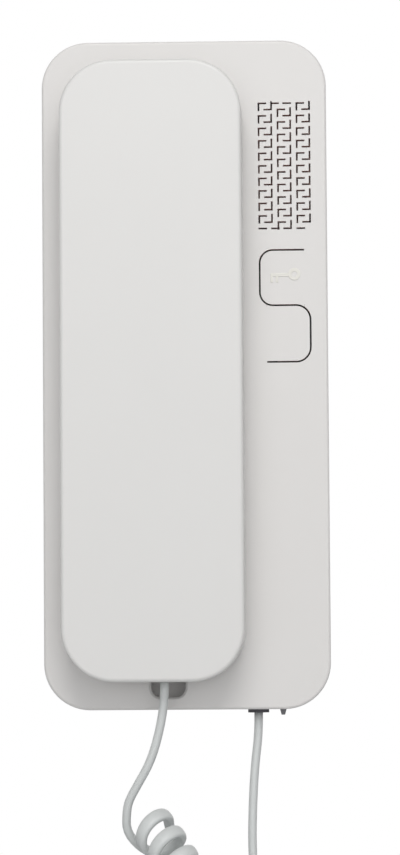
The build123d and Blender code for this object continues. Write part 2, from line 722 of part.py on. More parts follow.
with BuildPart() as hook_switch_stem:
    with BuildSketch(at_depth(hook_stem_front - hook_stem_length)):
        with Locations((hook_x, hook_stem_z)):
            Circle(hook_stem_radius)
    extrude(amount=hook_stem_length)
hook_switch_stem.part.label = "hook_switch_stem"
export_step(hook_switch_stem.part, "parts/hook_switch_stem.step")


# Volume slider: a shoe that runs on its switch, and a tapered nub through the slot in the bottom wall.
shoe_bottom = base_bottom + base_wall + slider_shoe_lift
with BuildPart() as volume_slider:
    with BuildSketch(at_depth(slider_depth - slider_shoe_thickness / 2)):
        with Locations((slider_x, shoe_bottom + slider_shoe_height / 2)):
            Rectangle(slider_shoe_width, slider_shoe_height)
    extrude(amount=slider_shoe_thickness)
    with BuildSketch(at_depth(slider_depth - slider_thickness / 2)):
        with BuildLine():
            Polyline(
                (slider_x - slider_root_width / 2, shoe_bottom),
                (slider_x - slider_root_width / 2, base_bottom),
                (slider_x - slider_tip_width / 2, base_bottom - slider_showing),
                (slider_x + slider_tip_width / 2, base_bottom - slider_showing),
                (slider_x + slider_root_width / 2, base_bottom),
                (slider_x + slider_root_width / 2, shoe_bottom),
                close=True,
            )
        make_face()
    extrude(amount=slider_thickness)
volume_slider.part.label = "volume_slider"
export_step(volume_slider.part, "parts/volume_slider.step")

volume_switch_bottom = shoe_bottom + slider_shoe_height + running_gap
with BuildPart() as volume_switch:
    with BuildSketch(at_depth(board_front)):
        with Locations((slider_x, volume_switch_bottom + volume_switch_height / 2)):
            Rectangle(volume_switch_width, volume_switch_height)
    extrude(amount=volume_switch_rise)
volume_switch.part.label = "volume_switch"
export_step(volume_switch.part, "parts/volume_switch.step")


# Cord bush: a dark rubber grommet whose flange shows under the bottom wall.
with BuildPart() as cord_grommet:
    with BuildSketch(Plane.XY.offset(base_bottom - grommet_flange_height)):
        with Locations((grommet_x, -grommet_depth)):
            Circle(grommet_flange_radius)
    extrude(amount=grommet_flange_height)
    with BuildSketch(Plane.XY.offset(base_bottom)):
        with Locations((grommet_x, -grommet_depth)):
            Circle(grommet_radius)
    extrude(amount=base_wall)
    with BuildSketch(Plane.XY.offset(base_bottom + base_wall)):
        with Locations((grommet_x, -grommet_depth)):
            Circle(grommet_flange_radius)
    extrude(amount=grommet_flange_height)
    with BuildSketch(Plane.XY.offset(base_bottom)):
        with Locations((grommet_x, -grommet_depth)):
            Circle(grommet_bore_radius)
    extrude(amount=base_wall + grommet_flange_height + overrun, mode=Mode.SUBTRACT)
cord_grommet.part.label = "cord_grommet"
export_step(cord_grommet.part, "parts/cord_grommet.step")


# Handset front shell: the flat slab that the hand holds, with two screw bosses inside.
handset_inner_width = handset_width - 2 * handset_wall
handset_inner_height = handset_height - 2 * handset_wall
handset_inner_corner = handset_corner_radius - handset_wall
handset_screw_places = ((handset_x, ear_z - screw_ear_gap), (handset_x, mouth_z + screw_mouth_gap))
handset_floor_depth = handset_back_depth + handset_wall
with BuildPart() as handset_front_shell:
    with BuildSketch(at_depth(handset_split_depth)):
        with Locations((handset_x, 0)):
            RectangleRounded(handset_width, handset_height, handset_corner_radius)
    extrude(amount=handset_front_depth - handset_split_depth)
    fillet(handset_front_shell.faces().sort_by(Axis.Y)[0].edges(), radius=handset_edge_radius)
    with BuildSketch(at_depth(handset_split_depth)):
        with Locations((handset_x, 0)):
            RectangleRounded(handset_inner_width, handset_inner_height, handset_inner_corner)
    extrude(amount=handset_front_depth - handset_split_depth - handset_wall, mode=Mode.SUBTRACT)
    with BuildSketch(at_depth(handset_floor_depth)):
        with Locations(*handset_screw_places):
            Circle(handset_boss_radius)
    extrude(amount=handset_front_depth - handset_wall - handset_floor_depth)
    with BuildSketch(at_depth(handset_floor_depth - overrun)):
        with Locations(*handset_screw_places):
            Circle(screw_thread_radius + running_gap)
    extrude(
        amount=overrun + handset_screw_length + handset_screw_spare - handset_wall, mode=Mode.SUBTRACT
    )
    with BuildSketch(Plane.XY.offset(handset_bottom - overrun)):
        with Locations((cord_exit_x, -cord_exit_depth)):
            Circle(relief_radius + running_gap)
    extrude(amount=handset_wall + 2 * overrun, mode=Mode.SUBTRACT)
handset_front_shell.part.label = "handset_front_shell"
export_step(handset_front_shell.part, "parts/handset_front_shell.step")


# Handset rear shell: the half that faces the wall unit, with the hollow pads at the ear and the mouth,
# their sound holes, the screw holes and a lip inside the front shell's walls.
with BuildPart() as handset_rear_shell:
    with BuildSketch(at_depth(handset_back_depth)):
        with Locations((handset_x, 0)):
            RectangleRounded(handset_width, handset_height, handset_corner_radius)
    extrude(amount=handset_split_depth - handset_back_depth)
    fillet(handset_rear_shell.faces().sort_by(Axis.Y)[-1].edges(), radius=handset_edge_radius)
    for pad_z, pad_width, pad_height in pads:
        with BuildSketch(at_depth(handset_back_depth + handset_wall)):
            with Locations((handset_x, pad_z)):
                RectangleRounded(pad_width, pad_height, pad_corner_radius)
        extrude(amount=-pad_depth - handset_wall, taper=pad_taper)
    chamfer(
        handset_rear_shell.faces().filter_by(Axis.Y).group_by(Axis.Y)[-1].edges(), length=pad_rim_bevel
    )
    with BuildSketch(at_depth(handset_floor_depth)):
        with Locations((handset_x, 0)):
            RectangleRounded(handset_inner_width, handset_inner_height, handset_inner_corner)
    extrude(amount=handset_split_depth, mode=Mode.SUBTRACT)
    for pad_z, pad_width, pad_height in pads:
        with BuildSketch(at_depth(handset_floor_depth)):
            with Locations((handset_x, pad_z)):
                RectangleRounded(
                    pad_width - 2 * pad_wall, pad_height - 2 * pad_wall, pad_corner_radius - pad_wall
                )
        extrude(
            amount=pad_face_depth + pad_wall - handset_floor_depth, taper=pad_taper, mode=Mode.SUBTRACT
        )
    lip_width = handset_inner_width - 2 * fit_gap
    lip_height_outer = handset_inner_height - 2 * fit_gap
    with BuildSketch(at_depth(handset_split_depth - lip_height)):
        with Locations((handset_x, 0)):
            RectangleRounded(handset_inner_width, handset_inner_height, handset_inner_corner)
            RectangleRounded(
                lip_width - 2 * handset_lip_wall,
                lip_height_outer - 2 * handset_lip_wall,
                handset_inner_corner - handset_lip_wall - fit_gap,
                mode=Mode.SUBTRACT,
            )
    extrude(amount=lip_height)
    with BuildSketch(at_depth(handset_split_depth)):
        with Locations((handset_x, 0)):
            RectangleRounded(lip_width, lip_height_outer, handset_inner_corner - fit_gap)
            RectangleRounded(
                lip_width - 2 * handset_lip_wall,
                lip_height_outer - 2 * handset_lip_wall,
                handset_inner_corner - handset_lip_wall - fit_gap,
                mode=Mode.SUBTRACT,
            )
    extrude(amount=lip_height)
    for cut_z, cut_radius in (
        (handset_bottom - overrun, relief_radius + running_gap),
        (handset_bottom + handset_wall, relief_collar_radius + fit_gap),
    ):
        with BuildSketch(Plane.XY.offset(cut_z)):
            with Locations((cord_exit_x, -cord_exit_depth)):
                Circle(cut_radius)
        extrude(amount=relief_length, mode=Mode.SUBTRACT)
    with BuildSketch(at_depth(pad_face_depth + pad_wall)):
        with Locations((handset_x, mouth_z)):
            Circle(microphone_radius + boot_wall + fit_gap + handset_lip_wall)
            Circle(microphone_radius + boot_wall + fit_gap, mode=Mode.SUBTRACT)
    extrude(amount=boot_seat_height)
    with BuildSketch(at_depth(pad_face_depth - overrun)):
        for pad_z, field_radius, slot_pitch in (
            (ear_z, ear_field_radius, ear_slot_pitch),
            (mouth_z, boot_opening_radius, mouth_slot_pitch),
        ):
            slots_each_side = int((field_radius - sound_slot_width) / slot_pitch)
            for slot in range(-slots_each_side, slots_each_side + 1):
                rise = slot * slot_pitch
                with Locations((handset_x, pad_z + rise)):
                    Rectangle(2 * sqrt(field_radius**2 - rise**2), sound_slot_width)
    extrude(amount=pad_wall + 2 * overrun, mode=Mode.SUBTRACT)
    with BuildSketch(at_depth(handset_back_depth - overrun)):
        with Locations(*handset_screw_places):
            Circle(screw_thread_radius + fit_gap)
    extrude(amount=handset_wall + 2 * overrun, mode=Mode.SUBTRACT)
    with BuildSketch(at_depth(handset_back_depth - overrun)):
        with Locations(*handset_screw_places):
            Circle(screw_head_radius + fit_gap)
    extrude(amount=handset_head_recess + overrun, mode=Mode.SUBTRACT)
handset_rear_shell.part.label = "handset_rear_shell"
export_step(handset_rear_shell.part, "parts/handset_rear_shell.step")


# Two screws hold the shells together. Their heads are sunk in the back, between the pads.
with BuildPart() as handset_screws:
    with BuildSketch(at_depth(handset_back_depth)):
        with Locations(*handset_screw_places):
            Circle(screw_head_radius)
    extrude(amount=handset_head_recess)
    with BuildSketch(at_depth(handset_back_depth)):
        with Locations(*handset_screw_places):
            Circle(screw_thread_radius)
    extrude(amount=handset_screw_length)
    with BuildSketch(at_depth(handset_back_depth - overrun)):
        with Locations(*handset_screw_places):
            Rectangle(2 * screw_head_radius + overrun, screw_slot_width)
    extrude(amount=overrun + screw_slot_depth, mode=Mode.SUBTRACT)
handset_screws.part.label = "handset_screws"
export_step(handset_screws.part, "parts/handset_screws.step")


# Earpiece: a stepped receiver capsule on a foam ring in the ear pad.
ear_floor_depth = pad_face_depth + pad_wall
ear_seat_depth = ear_floor_depth + gasket_thickness
earpiece_back = ear_seat_depth + earpiece_thickness
with BuildPart() as earpiece_gasket:
    with BuildSketch(at_depth(ear_floor_depth)):
        with Locations((handset_x, ear_z)):
            Circle(earpiece_radius)
            Circle(earpiece_radius - gasket_rim, mode=Mode.SUBTRACT)
    extrude(amount=gasket_thickness)
earpiece_gasket.part.label = "earpiece_gasket"
export_step(earpiece_gasket.part, "parts/earpiece_gasket.step")

with BuildPart() as earpiece_capsule:
    with BuildSketch(Plane.YZ.offset(handset_x)):
        with BuildLine():
            Polyline(
                (-ear_seat_depth, ear_z),
                (-ear_seat_depth, ear_z + earpiece_radius),
                (-ear_seat_depth - earpiece_step, ear_z + earpiece_radius),
                (-ear_seat_depth - earpiece_step, ear_z + earpiece_radius - earpiece_rim),
                (earpiece_step - earpiece_back, ear_z + earpiece_radius - earpiece_rim),
                (-earpiece_back, ear_z + earpiece_radius - 2 * earpiece_rim),
                (-earpiece_back, ear_z),
                close=True,
            )
        make_face()
    revolve(axis=Axis((handset_x, 0, ear_z), (0, 1, 0)))
earpiece_capsule.part.label = "earpiece_capsule"
export_step(earpiece_capsule.part, "parts/earpiece_capsule.step")


# Microphone: an electret capsule in a rubber boot, in the ring behind the mouth pad's holes.
boot_radius = microphone_radius + boot_wall
with BuildPart() as microphone_boot:
    with BuildSketch(at_depth(ear_floor_depth)):
        with Locations((handset_x, mouth_z)):
            Circle(boot_radius)
    extrude(amount=boot_floor + microphone_height)
    with BuildSketch(at_depth(ear_floor_depth + boot_floor)):
        with Locations((handset_x, mouth_z)):
            Circle(microphone_radius + running_gap)
    extrude(amount=microphone_height + overrun, mode=Mode.SUBTRACT)
    with BuildSketch(at_depth(ear_floor_depth - overrun)):
        with Locations((handset_x, mouth_z)):
            Circle(boot_opening_radius)
    extrude(amount=boot_floor + 2 * overrun, mode=Mode.SUBTRACT)
microphone_boot.part.label = "microphone_boot"
export_step(microphone_boot.part, "parts/microphone_boot.step")

with BuildPart() as microphone_capsule:
    with BuildSketch(at_depth(ear_floor_depth + boot_floor)):
        with Locations((handset_x, mouth_z)):
            Circle(microphone_radius)
    extrude(amount=microphone_height)
    chamfer(microphone_capsule.edges().filter_by(GeomType.CIRCLE), length=microphone_edge_bevel)
microphone_capsule.part.label = "microphone_capsule"
export_step(microphone_capsule.part, "parts/microphone_capsule.step")


# Strain relief of the handset: a bush in the bottom wall with a collar behind it.
with BuildPart() as handset_strain_relief:
    with BuildSketch(Plane.XY.offset(handset_bottom)):
        with Locations((cord_exit_x, -cord_exit_depth)):
            Circle(relief_radius)
    extrude(amount=relief_length)
    with BuildSketch(Plane.XY.offset(handset_bottom + handset_wall + running_gap)):
        with Locations((cord_exit_x, -cord_exit_depth)):
            Circle(relief_collar_radius)
    extrude(amount=relief_collar_length)
handset_strain_relief.part.label = "handset_strain_relief"
export_step(handset_strain_relief.part, "parts/handset_strain_relief.step")


# Curly cord, in millimetres: straight out of the handset, once round the coil's end from behind, down
# the coil and up again, and straight into the bush under the wall unit.
handset_tail_points = (
    (cord_exit_x, -cord_exit_depth, handset_bottom),
    (cord_exit_x, -cord_exit_depth, -91.5),
    (-7.3, -28.7, -99.5),
    (-10.0, -27.8, -109.0),
    (-14.2, -26.5, -116.2),
    (-16.35, -25.6, -120.0),
    (-17.1, -25.1, -122.9),
)
coil_lead_points = (
    (-17.5, -22.6, -130.8),
    (-13.4, -18.2, -136.0),
    (-8.0, -14.2, -137.0),
    (-4.0, -13.6, -132.6),
)
coil_axis_points = (
    (-9.3, -22.4, -128.0),
    (-5.2, -28.9, -134.6),
    (0.5, -35.0, -143.0),
    (3.5, -38.5, -154.0),
    (5.0, -39.0, -167.0),
    (8.5, -36.5, -180.0),
    (15.0, -30.0, -188.5),
    (21.5, -22.5, -187.0),
    (24.8, -17.0, -177.5),
    (24.0, -14.6, -167.0),
    (21.0, -14.0, -157.5),
)
coil_exit_points = (
    (25.6, -15.4, -156.0),
    (23.2, -11.0, -155.0),
    (18.9, -12.0, -153.0),
)
base_tail_points = (
    (18.4, -14.0, -144.2),
    (17.8, -14.0, -134.0),
    (18.0, -13.7, -123.0),
    (18.7, -13.3, -111.0),
    (grommet_x, -grommet_depth, -102.0),
    (grommet_x, -grommet_depth, base_bottom - grommet_flange_height),
)


def tail_path(points):
    """Straight runs joined by tangent arcs, each as large as its two runs allow."""
    corners = [Vector(*point) for point in points]
    radii = []
    for before, here, after in zip(corners, corners[1:], corners[2:]):
        turn = radians((here - before).get_angle(after - here))
        shorter = min((here - before).length, (after - here).length)
        radii.append(bend_share * shorter / tan(turn / 2))
    print("tail radii", [round(radius, 1) for radius in radii])
    with BuildLine() as path:
        FilletPolyline(*corners, radius=radii)
    return path.wires()[0]


def smooth_points(points, count):
    """Places and directions along the smooth curve that these control points pull: each corner is
    rounded by a parabola between the middles of its two runs."""
    corners = [Vector(*point) for point in points]
    middles = [(a + b) * 0.5 for a, b in zip(corners, corners[1:])]
    starts = [corners[0]] + middles[1:-1]
    ends = middles[1:-1] + [corners[-1]]
    places = []
    for start, corner, end in zip(starts, corners[1:-1], ends):
        for step in range(count):
            share = step / count
            place = start * (1 - share) ** 2 + corner * (2 * share * (1 - share)) + end * share**2
            heading = (corner - start) * (1 - share) + (end - corner) * share
            places.append((place, heading.normalized()))
    places.append((corners[-1], (corners[-1] - corners[-2]).normalized()))
    return places


def biarc(start, start_heading, end, end_heading):
    """Two arcs that leave the start and reach the end in the given directions."""
    chord = end - start
    sum_heading = start_heading + end_heading
    bend = 2 * (1 - start_heading.dot(end_heading))
    if bend < straight_share:
        return (Line(start, end),)
    along = chord.dot(sum_heading)
    reach = (sqrt(along**2 + bend * chord.dot(chord)) - along) / bend
    knee = (start + start_heading * reach + end - end_heading * reach) * 0.5
    knee_heading = ((end - end_heading * reach) - (start + start_heading * reach)).normalized()
    return (
        TangentArc(start, knee, tangent=start_heading),
        TangentArc(knee, end, tangent=knee_heading),
    )


def coil_frames(points, count):
    """Stations along the coil's axis: distance, place, heading, and the way that faces the room there,
    carried along without twist."""
    places = smooth_points(points, count)
    toward = Vector(0, -1, 0)
    stations = []
    distance = 0
    for index, (place, heading) in enumerate(places):
        if index:
            distance += (place - places[index - 1][0]).length
        toward = (toward - heading * toward.dot(heading)).normalized()
        stations.append((distance, place, heading, toward))
    return stations


def coil_place(stations, turn, turns):
    """Where the cord is after this many turns of the coil."""
    distance = stations[-1][0] * min(max(turn / turns, 0), 1)
    index = 1
    while stations[index][0] < distance and index < len(stations) - 1:
        index += 1
    before, after = stations[index - 1], stations[index]
    share = (distance - before[0]) / (after[0] - before[0])
    centre = before[1] * (1 - share) + after[1] * share
    heading = (before[2] * (1 - share) + after[2] * share).normalized()
    toward = (before[3] * (1 - share) + after[3] * share).normalized()
    angle = radians(coil_start_angle) + 2 * pi * turn
    return centre + (toward * cos(angle) + heading.cross(toward) * sin(angle)) * coil_radius


def heading_of(stations, turn, turns):
    """The cord's direction after this many turns."""
    step = heading_step_share
    low, high = max(turn - step, 0), min(turn + step, turns)
    return (coil_place(stations, high, turns) - coil_place(stations, low, turns)).normalized()


handset_tail_line = tail_path(handset_tail_points)
base_tail_line = tail_path(base_tail_points)
with BuildPart() as handset_tail:
    with BuildSketch(Plane(origin=handset_tail_line @ 0, z_dir=handset_tail_line % 0)):
        RegularPolygon(radius=cord_thickness / 2, side_count=cord_sides)
    sweep(path=handset_tail_line)
handset_tail.part.label = "handset_tail"
export_step(handset_tail.part, "parts/handset_tail.step")

with BuildPart() as base_tail:
    with BuildSketch(Plane(origin=base_tail_line @ 0, z_dir=base_tail_line % 0)):
        RegularPolygon(radius=cord_thickness / 2, side_count=cord_sides)
    sweep(path=base_tail_line)
base_tail.part.label = "base_tail"
export_step(base_tail.part, "parts/base_tail.step")

stations = coil_frames(coil_axis_points, axis_steps)
print("coil axis", round(stations[-1][0], 1), "mm, pitch", round(stations[-1][0] / coil_turns, 2), "mm")
lead_start, lead_heading = handset_tail_line @ 1, handset_tail_line % 1
lead_end, lead_end_heading = base_tail_line @ 0, base_tail_line % 0
first_place, last_place = coil_place(stations, 0, coil_turns), coil_place(stations, coil_turns, coil_turns)
first_heading = heading_of(stations, 0, coil_turns)
last_heading = heading_of(stations, coil_turns, coil_turns)
wire_places = smooth_points(
    (
        lead_start + lead_heading * cord_thickness,
        lead_start + lead_heading * (1 + guide_share) * cord_thickness,
        *[Vector(*point) for point in coil_lead_points],
        first_place - first_heading * cord_thickness,
        first_place,
    ),
    lead_steps,
)[:-1]
for half_turn in range(2 * coil_turns + 1):
    turn = half_turn / 2
    wire_places.append((coil_place(stations, turn, coil_turns), heading_of(stations, turn, coil_turns)))
wire_places = wire_places[:-1] + smooth_points(
    (
        last_place,
        last_place + last_heading * cord_thickness,
        *[Vector(*point) for point in coil_exit_points],
        lead_end - lead_end_heading * (1 + guide_share) * cord_thickness,
        lead_end - lead_end_heading * cord_thickness,
    ),
    lead_steps,
)
arcs = [Line(lead_start, wire_places[0][0])]
for (place, heading), (next_place, next_heading) in zip(wire_places, wire_places[1:]):
    arcs.extend(biarc(place, heading, next_place, next_heading))
arcs.append(Line(wire_places[-1][0], lead_end))
coil_line = Wire(arcs)
with BuildPart() as cord_coil:
    with BuildSketch(Plane(origin=lead_start, z_dir=lead_heading)):
        RegularPolygon(radius=cord_thickness / 2, side_count=cord_sides)
    sweep(path=coil_line)
cord_coil.part.label = "cord_coil"
export_step(cord_coil.part, "parts/cord_coil.step")

tightest = min(arc.radius for arc in arcs if arc.geom_type == GeomType.CIRCLE)
print("tightest bend of the coil", round(tightest, 1), "mm")
samples = [arc @ (step / gap_steps) for arc in arcs for step in range(gap_steps)]
reaches = [0]
for here, after in zip(samples, samples[1:]):
    reaches.append(reaches[-1] + (after - here).length)
least_gap = min(
    (a - b).length - cord_thickness
    for i, a in enumerate(samples)
    for j, b in enumerate(samples)
    if reaches[j] - reaches[i] > pi * coil_radius
)
for name, line, piece in (
    ("handset tail", handset_tail_line, handset_tail),
    ("coil", coil_line, cord_coil),
    ("base tail", base_tail_line, base_tail),
):
    section = cord_sides * cord_thickness**2 * sin(2 * pi / cord_sides) / 8
    print(name, "length", round(line.length, 1), "volume over section times length",
          round(piece.part.volume / section / line.length, 3))
print("least gap of the coil to itself", round(least_gap, 2), "mm")
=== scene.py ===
import json
from math import atan2, cos, pi, radians, sin

import bpy
from mathutils import Matrix, Vector

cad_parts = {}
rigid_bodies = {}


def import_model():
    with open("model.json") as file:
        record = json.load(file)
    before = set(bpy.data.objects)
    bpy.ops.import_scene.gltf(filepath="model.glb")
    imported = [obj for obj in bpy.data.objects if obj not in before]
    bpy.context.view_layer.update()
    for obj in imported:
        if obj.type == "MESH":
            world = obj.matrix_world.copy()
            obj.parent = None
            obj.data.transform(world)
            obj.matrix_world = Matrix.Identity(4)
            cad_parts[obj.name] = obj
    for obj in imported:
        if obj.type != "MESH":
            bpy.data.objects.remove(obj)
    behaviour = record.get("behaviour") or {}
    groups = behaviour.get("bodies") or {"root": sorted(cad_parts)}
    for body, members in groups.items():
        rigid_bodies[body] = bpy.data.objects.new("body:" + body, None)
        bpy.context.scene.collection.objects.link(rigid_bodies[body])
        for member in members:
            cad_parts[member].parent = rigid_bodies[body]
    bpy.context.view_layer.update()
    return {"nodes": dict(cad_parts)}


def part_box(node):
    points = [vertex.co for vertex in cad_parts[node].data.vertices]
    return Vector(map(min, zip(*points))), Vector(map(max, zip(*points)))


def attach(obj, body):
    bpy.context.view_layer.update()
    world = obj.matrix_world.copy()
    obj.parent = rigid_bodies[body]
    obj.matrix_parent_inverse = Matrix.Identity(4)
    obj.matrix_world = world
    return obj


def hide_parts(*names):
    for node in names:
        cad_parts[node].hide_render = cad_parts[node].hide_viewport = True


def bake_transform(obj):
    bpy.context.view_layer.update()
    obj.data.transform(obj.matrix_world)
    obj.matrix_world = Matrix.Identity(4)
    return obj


# An audio door-intercom station: a wall unit with two sprung buttons and a call loudspeaker, a lift-off
# handset on its left, and the curly cord that joins them below.
for leftover in list(bpy.data.objects):
    bpy.data.objects.remove(leftover)
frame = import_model()
nodes = frame["nodes"]


# Wall unit: the rear tray, the front cover with its grille and slit, the two button tongues and the nose
# of the hook lever. Warm white ABS, injection moulded, with the fine satin grain of a spark-eroded mould.
def paint(level):
    """One photographed colour channel, from 0 to 255, as linear light."""
    share = level / 255
    return share / 12.92 if share <= 0.04045 else ((share + 0.055) / 1.055) ** 2.4


def colour(red, green, blue):
    return (paint(red), paint(green), paint(blue), 1)


def material(name, base, roughness, metallic=0.0, ior=1.5):
    """A plain Principled material, with its node tree, shader and object coordinates to build on."""
    made = bpy.data.materials.new(name)
    made.use_nodes = True
    tree = made.node_tree
    shader = tree.nodes["Principled BSDF"]
    shader.inputs["Base Color"].default_value = base
    shader.inputs["Roughness"].default_value = roughness
    shader.inputs["Metallic"].default_value = metallic
    shader.inputs["IOR"].default_value = ior
    place = tree.nodes.new("ShaderNodeTexCoord").outputs["Object"]
    return made, tree, shader, place


def stretched(tree, place, stretch):
    """The same coordinates, scaled by a different amount along each axis."""
    mapping = tree.nodes.new("ShaderNodeMapping")
    mapping.inputs["Scale"].default_value = stretch
    tree.links.new(place, mapping.inputs["Vector"])
    return mapping.outputs["Vector"]


def noise(tree, place, size, detail=2.0):
    """Soft noise whose lumps are about this many metres across."""
    node = tree.nodes.new("ShaderNodeTexNoise")
    node.inputs["Scale"].default_value = 1 / size
    node.inputs["Detail"].default_value = detail
    tree.links.new(place, node.inputs["Vector"])
    return node.outputs["Fac"]


def ranged(tree, value, low, high):
    """A 0 to 1 value spread over another range."""
    node = tree.nodes.new("ShaderNodeMapRange")
    node.inputs["To Min"].default_value = low
    node.inputs["To Max"].default_value = high
    tree.links.new(value, node.inputs["Value"])
    return node.outputs["Result"]


def mixed(tree, factor, dark, light):
    """A colour between these two."""
    node = tree.nodes.new("ShaderNodeMix")
    node.data_type = "RGBA"
    tree.links.new(factor, node.inputs["Factor"])
    node.inputs[6].default_value = dark
    node.inputs[7].default_value = light
    return node.outputs[2]


def drift(tree, shader, place, base, amount, size):
    """Lets the base colour wander a little, as pigment in moulded plastic does."""
    dark = (*[channel * (1 - amount) for channel in base[:3]], 1)
    light = (*[min(channel * (1 + amount), 1) for channel in base[:3]], 1)
    tree.links.new(mixed(tree, noise(tree, place, size), dark, light), shader.inputs["Base Color"])


def grain(tree, shader, height, distance):
    """Bumps the surface by a 0 to 1 height times this many metres."""
    node = tree.nodes.new("ShaderNodeBump")
    node.inputs["Distance"].default_value = distance
    tree.links.new(height, node.inputs["Height"])
    tree.links.new(node.outputs["Normal"], shader.inputs["Normal"])


def uneven_gloss(tree, shader, patches, low, high):
    """Lets the roughness wander between two values over a 0 to 1 pattern."""
    tree.links.new(ranged(tree, patches, low, high), shader.inputs["Roughness"])


def moulded(name, base, roughness, grain_size, grain_depth, amount=0.012, spread=0.04):
    """Moulded plastic: pigment drift over some centimetres, uneven gloss and a fine grain."""
    made, tree, shader, place = material(name, base, roughness, ior=1.53)
    drift(tree, shader, place, base, amount, size=0.035)
    patches = noise(tree, place, size=0.006, detail=4.0)
    uneven_gloss(tree, shader, patches, roughness - spread, roughness + spread)
    grain(tree, shader, noise(tree, place, grain_size, detail=3.0), grain_depth)
    return made


def dress(made, *names):
    """Gives these CAD nodes this material."""
    for name in names:
        for slot in nodes[name].material_slots:
            slot.material = made


def between(tree, value, low, high):
    """1 where the value lies past the second limit, 0 before the first, and soft in between."""
    node = tree.nodes.new("ShaderNodeMapRange")
    node.inputs["From Min"].default_value = low
    node.inputs["From Max"].default_value = high
    tree.links.new(value, node.inputs["Value"])
    return node.outputs["Result"]


def times(tree, first, second):
    node = tree.nodes.new("ShaderNodeMath")
    node.operation = "MULTIPLY"
    tree.links.new(first, node.inputs[0])
    tree.links.new(second, node.inputs[1])
    return node.outputs["Value"]


# Where the painted brownish shade shows in the slots, as the sides of a soft-edged box: the axis, the
# place where it starts to show and the place where it shows in full.
painted_shade_limits = (
    ("Y", -0.0208, -0.0202),
    ("Y", -0.0175, -0.0180),
    ("X", 0.0202, 0.0205),
    ("X", 0.0376, 0.0374),
    ("Z", -0.0100, -0.0095),
    ("Z", 0.0795, 0.0790),
)


def painted_slot_shade(made, shade_colour):
    """Paints a brownish shade on the walls of the slots and slits right of the handset, where little
    light reaches.
    """
    tree = made.node_tree
    shader = tree.nodes["Principled BSDF"]
    place = tree.nodes.new("ShaderNodeTexCoord").outputs["Object"]
    parts = tree.nodes.new("ShaderNodeSeparateXYZ")
    tree.links.new(place, parts.inputs["Vector"])
    amount = None
    for axis, unshaded_edge, shaded_edge in painted_shade_limits:
        share = between(tree, parts.outputs[axis], unshaded_edge, shaded_edge)
        amount = share if amount is None else times(tree, amount, share)
    # Deeper in the slots the plastic's colour is mixed towards the painted shade colour.
    unshaded = shader.inputs["Base Color"].links[0].from_socket
    shaded = mixed(tree, amount, shade_colour, shade_colour)
    tree.links.new(unshaded, shaded.node.inputs[6])
    tree.links.new(shaded, shader.inputs["Base Color"])


wall_unit_white = moulded(
    "wall_unit_white", colour(222, 220, 218), roughness=0.44, grain_size=0.00025, grain_depth=0.000009
)
# Painted brownish shade on the walls of the grille slots and the slit.
painted_slot_shade(wall_unit_white, colour(222, 188, 182))
dress(wall_unit_white, "rear_housing", "front_cover", "door_button", "aux_button", "hook_lever")


# Roots of the two button tongues: the skin of the living hinge, moulded in one with cover and tongue.
# Each closes the hairline that the CAD leaves there so that the tongue can be a body of its own.
def box_piece(name, low, high, made, body):
    """A plain box piece between two corners."""
    corners = [
        (x, y, z)
        for x in (low[0], high[0])
        for y in (low[1], high[1])
        for z in (low[2], high[2])
    ]
    faces = ((0, 1, 3, 2), (4, 6, 7, 5), (0, 4, 5, 1), (2, 3, 7, 6), (0, 2, 6, 4), (1, 5, 7, 3))
    mesh = bpy.data.meshes.new(name)
    mesh.from_pydata(corners, [], faces)
    mesh.materials.append(made)
    piece = bpy.data.objects.new(name, mesh)
    bpy.context.collection.objects.link(piece)
    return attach(piece, body)


root_gap = 0.00005
root_skin = 0.0008
slit_middle_z, slit_half_width = 0.0192, 0.00025
cover_face_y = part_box("front_cover")[0][1]
for name, root_side in (("door_button", 1), ("aux_button", -1)):
    low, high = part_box(name)
    root_x = high[0] if root_side > 0 else low[0]
    near_x, far_x = sorted((root_x, root_x + root_side * root_gap))
    upper = name == "door_button"
    root_low_z = slit_middle_z + slit_half_width if upper else low[2]
    root_high_z = high[2] if upper else slit_middle_z - slit_half_width
    box_piece(
        f"{name}_root",
        (near_x, cover_face_y, root_low_z),
        (far_x, cover_face_y + root_skin, root_high_z),
        wall_unit_white,
        "wall_unit",
    )

# Key sign on the upper button: a ring with a hole, a shaft and two teeth, raised a fifth of a millimetre
# with softened edges and moulded in one with the tongue, whose mould is polished there.
key_ring_x, key_ring_z = 0.0311, 0.0280
key_ring_radius, key_hole_radius = 0.00174, 0.0008
key_shaft_low_z, key_shaft_high_z = 0.02735, 0.02830
key_left_x = 0.02435
key_tooth_xs, key_tooth_half = (0.0262, 0.0247), 0.00034
key_tooth_low_z = 0.0257
key_rise, key_edge = 0.0002, 0.00009
key_edge_middle = 0.3 * key_edge
key_steps = 48
key_vertices, key_faces = [], []


def key_rings(rings, closed_top):
    """Rings of the sign's vertices, joined in turn, the last one closed by a face if asked."""
    count = len(rings[0])
    first = len(key_vertices)
    for ring in rings:
        key_vertices.extend(ring)
    for row in range(len(rings) - 1):
        for step in range(count):
            after = (step + 1) % count
            here, beyond = first + row * count, first + (row + 1) * count
            key_faces.append((here + step, here + after, beyond + after, beyond + step))
    if closed_top:
        key_faces.append(tuple(first + (len(rings) - 1) * count + step for step in range(count)))


def key_bar(low_x, high_x, low_z, high_z):
    """A straight bar of the sign with softened upper edges."""
    rings = []
    for height, inset in (
        (0, 0),
        (key_rise - key_edge, 0),
        (key_rise - key_edge_middle, key_edge_middle),
        (key_rise, key_edge),
    ):
        y = cover_face_y - height
        x0, x1, z0, z1 = low_x + inset, high_x - inset, low_z + inset, high_z - inset
        rings.append([(x0, y, z0), (x1, y, z0), (x1, y, z1), (x0, y, z1)])
    key_rings(rings, True)


